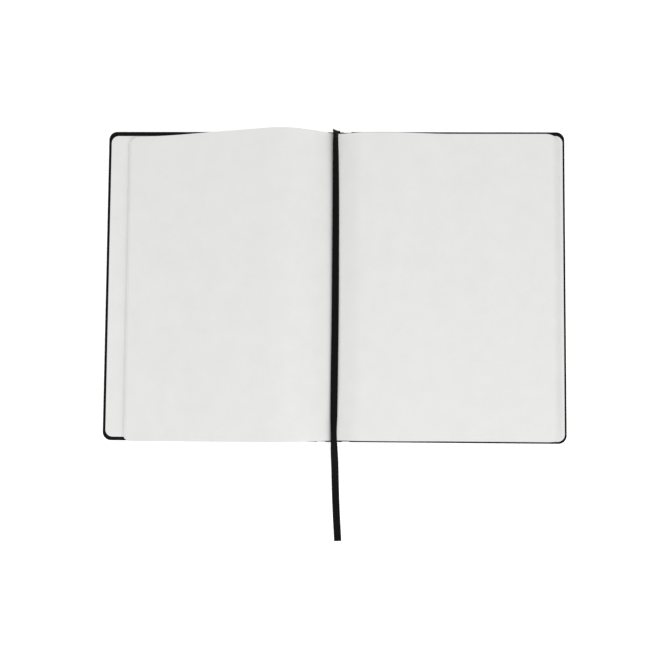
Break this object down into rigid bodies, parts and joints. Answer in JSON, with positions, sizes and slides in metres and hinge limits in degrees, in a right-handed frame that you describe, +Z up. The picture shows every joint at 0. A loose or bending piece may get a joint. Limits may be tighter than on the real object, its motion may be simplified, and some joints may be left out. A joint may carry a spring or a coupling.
{
  "type": "sketchbook",
  "caption": "Hardbound A4 sketchbook lying open near its front, black cloth case, sewn blank leaves and a ribbon marker; it closes and its top leaf turns",
  "frame": {"origin": "On the table under the middle of the spine, at the centre of the open book without its ribbon", "axes": "+X to the right across the open book, +Y towards the head, +Z up"},
  "size_m": [0.447, 0.3975, 0.0346],
  "materials": {
    "cover_cloth": "black book cloth with a fine coated grain",
    "greyboard": "uncoated grey binder's board",
    "endpaper": "smooth uncoated white endpaper",
    "drawing_paper": "white cartridge paper with a fine tooth",
    "ribbon": "black woven rayon ribbon",
    "thread": "waxed white linen thread"
  },
  "bodies": {
    "back_cover": {"back_board": "greyboard", "back_cover_cloth": "cover_cloth", "back_pastedown": "endpaper", "back_flyleaf": "endpaper"},
    "spine": {"spine_board": "greyboard", "spine_cloth": "cover_cloth", "spine_lining": "endpaper"},
    "front_cover": {"front_board": "greyboard", "front_cover_cloth": "cover_cloth", "front_pastedown": "endpaper"},
    "section_8": {"section_8": "drawing_paper"},
    "section_7": {"section_7": "drawing_paper"},
    "section_6": {"section_6": "drawing_paper"},
    "section_5": {"section_5": "drawing_paper"},
    "section_4": {"section_4": "drawing_paper"},
    "section_3_right": {"section_3_right": "drawing_paper", "sewing_thread": "thread"},
    "front_flyleaf_gutter": {"front_flyleaf_gutter": "endpaper"},
    "front_flyleaf_arch": {"front_flyleaf_arch": "endpaper"},
    "front_flyleaf": {"front_flyleaf": "endpaper"},
    "section_1_gutter": {"section_1_gutter": "drawing_paper"},
    "section_1_arch": {"section_1_arch": "drawing_paper"},
    "section_1": {"section_1": "drawing_paper"},
    "section_2_gutter": {"section_2_gutter": "drawing_paper"},
    "section_2_arch": {"section_2_arch": "drawing_paper"},
    "section_2": {"section_2": "drawing_paper"},
    "section_3_left_gutter": {"section_3_left_gutter": "drawing_paper"},
    "section_3_left_arch": {"section_3_left_arch": "drawing_paper"},
    "section_3_left": {"section_3_left": "drawing_paper"},
    "turning_leaf_gutter": {"turning_leaf_gutter": "drawing_paper"},
    "turning_leaf": {"turning_leaf": "drawing_paper"},
    "ribbon_marker": {"ribbon_marker": "ribbon"}
  },
  "joints": [
    {"name": "spine_hinge", "type": "hinge", "parent": "back_cover", "child": "spine", "pos_m": [0.00904, 0, 0.00015], "axis": [0, 1, 0], "range_deg": [0, 90]},
    {"name": "front_cover_hinge", "type": "hinge", "parent": "spine", "child": "front_cover", "pos_m": [-0.00904, 0, 0.00015], "axis": [0, 1, 0], "range_deg": [0, 90]},
    {"name": "section_8_slide", "type": "slide", "parent": "back_cover", "child": "section_8", "axis": [1, 0, 0], "range_m": [0, 0.00302]},
    {"name": "section_7_slide", "type": "slide", "parent": "back_cover", "child": "section_7", "axis": [1, 0, 0], "range_m": [0, 0.00426]},
    {"name": "section_6_slide", "type": "slide", "parent": "back_cover", "child": "section_6", "axis": [1, 0, 0], "range_m": [0, 0.0055]},
    {"name": "section_5_slide", "type": "slide", "parent": "back_cover", "child": "section_5", "axis": [1, 0, 0], "range_m": [0, 0.00675]},
    {"name": "section_4_slide", "type": "slide", "parent": "back_cover", "child": "section_4", "axis": [1, 0, 0], "range_m": [0, 0.00799]},
    {"name": "section_3_right_slide", "type": "slide", "parent": "back_cover", "child": "section_3_right", "axis": [1, 0, 0], "range_m": [0, 0.00885]},
    {"name": "front_flyleaf_fold_hinge", "type": "hinge", "parent": "back_cover", "child": "front_flyleaf_gutter", "pos_m": [0.00602, 0, 0.00896], "axis": [0, 1, 0], "range_deg": [0, 156.7]},
    {"name": "front_flyleaf_crest_hinge", "type": "hinge", "parent": "front_flyleaf_gutter", "child": "front_flyleaf_arch", "pos_m": [-0.0579, 0, 0.03097], "axis": [0, 1, 0], "range_deg": [0, 35.5]},
    {"name": "front_flyleaf_ease_hinge", "type": "hinge", "parent": "front_flyleaf_arch", "child": "front_flyleaf", "pos_m": [-0.1713, 0, 0.00662], "axis": [0, 1, 0], "range_deg": [-6.48, 0]},
    {"name": "section_1_fold_hinge", "type": "hinge", "parent": "back_cover", "child": "section_1_gutter", "pos_m": [0.00608, 0, 0.00895], "axis": [0, 1, 0], "range_deg": [0, 156.7]},
    {"name": "section_1_crest_hinge", "type": "hinge", "parent": "section_1_gutter", "child": "section_1_arch", "pos_m": [-0.05788, 0, 0.03118], "axis": [0, 1, 0], "range_deg": [0, 35.5]},
    {"name": "section_1_ease_hinge", "type": "hinge", "parent": "section_1_arch", "child": "section_1", "pos_m": [-0.17151, 0, 0.00792], "axis": [0, 1, 0], "range_deg": [-6.48, 0]},
    {"name": "section_2_fold_hinge", "type": "hinge", "parent": "back_cover", "child": "section_2_gutter", "pos_m": [0.00648, 0, 0.00887], "axis": [0, 1, 0], "range_deg": [0, 156.7]},
    {"name": "section_2_crest_hinge", "type": "hinge", "parent": "section_2_gutter", "child": "section_2_arch", "pos_m": [-0.05774, 0, 0.03256], "axis": [0, 1, 0], "range_deg": [0, 35.5]},
    {"name": "section_2_ease_hinge", "type": "hinge", "parent": "section_2_arch", "child": "section_2", "pos_m": [-0.17172, 0, 0.00923], "axis": [0, 1, 0], "range_deg": [-6.48, 0]},
    {"name": "section_3_left_fold_hinge", "type": "hinge", "parent": "back_cover", "child": "section_3_left_gutter", "pos_m": [0.00688, 0, 0.00879], "axis": [0, 1, 0], "range_deg": [0, 156.7]},
    {"name": "section_3_left_crest_hinge", "type": "hinge", "parent": "section_3_left_gutter", "child": "section_3_left_arch", "pos_m": [-0.05761, 0, 0.03394], "axis": [0, 1, 0], "range_deg": [0, 35.5]},
    {"name": "section_3_left_ease_hinge", "type": "hinge", "parent": "section_3_left_arch", "child": "section_3_left", "pos_m": [-0.17182, 0, 0.0099], "axis": [0, 1, 0], "range_deg": [-6.48, 0]},
    {"name": "page_turn", "type": "hinge", "parent": "section_3_right", "child": "turning_leaf_gutter", "pos_m": [0.00219, 0, 0.01043], "axis": [0, 1, 0], "range_deg": [-139, 0], "deforming": ["turning_leaf_gutter"]},
    {"name": "page_bend", "type": "hinge", "parent": "turning_leaf_gutter", "child": "turning_leaf", "pos_m": [0.05419, 0, 0.01051], "axis": [0, 1, 0], "range_deg": [-55, 0], "deforming": ["turning_leaf"]},
    {"name": "ribbon_slide", "type": "slide", "parent": "back_cover", "child": "ribbon_marker", "axis": [0.9967, 0, 0.081], "range_m": [0, 0.01606], "deforming": ["ribbon_marker"]}
  ],
  "couplings": [
    {"joint": "front_cover_hinge", "follows": "spine_hinge", "ratio": 1},
    {"joint": "section_8_slide", "follows": "spine_hinge", "m_per_rad": 0.0019177},
    {"joint": "section_7_slide", "follows": "spine_hinge", "m_per_rad": 0.0027095},
    {"joint": "section_6_slide", "follows": "spine_hinge", "m_per_rad": 0.0035012},
    {"joint": "section_5_slide", "follows": "spine_hinge", "m_per_rad": 0.004293},
    {"joint": "section_4_slide", "follows": "spine_hinge", "m_per_rad": 0.0050848},
    {"joint": "section_3_right_slide", "follows": "spine_hinge", "m_per_rad": 0.0056329},
    {"joint": "front_flyleaf_fold_hinge", "follows": "spine_hinge", "ratio": 1.7411},
    {"joint": "front_flyleaf_crest_hinge", "follows": "spine_hinge", "ratio": 0.39444},
    {"joint": "front_flyleaf_ease_hinge", "follows": "spine_hinge", "ratio": -0.072},
    {"joint": "section_1_fold_hinge", "follows": "spine_hinge", "ratio": 1.7411},
    {"joint": "section_1_crest_hinge", "follows": "spine_hinge", "ratio": 0.39444},
    {"joint": "section_1_ease_hinge", "follows": "spine_hinge", "ratio": -0.072},
    {"joint": "section_2_fold_hinge", "follows": "spine_hinge", "ratio": 1.7411},
    {"joint": "section_2_crest_hinge", "follows": "spine_hinge", "ratio": 0.39444},
    {"joint": "section_2_ease_hinge", "follows": "spine_hinge", "ratio": -0.072},
    {"joint": "section_3_left_fold_hinge", "follows": "spine_hinge", "ratio": 1.7411},
    {"joint": "section_3_left_crest_hinge", "follows": "spine_hinge", "ratio": 0.39444},
    {"joint": "section_3_left_ease_hinge", "follows": "spine_hinge", "ratio": -0.072},
    {"joint": "page_bend", "follows": "page_turn", "ratio": 0.39568},
    {"joint": "ribbon_slide", "follows": "spine_hinge", "m_per_rad": 0.010219}
  ]
}
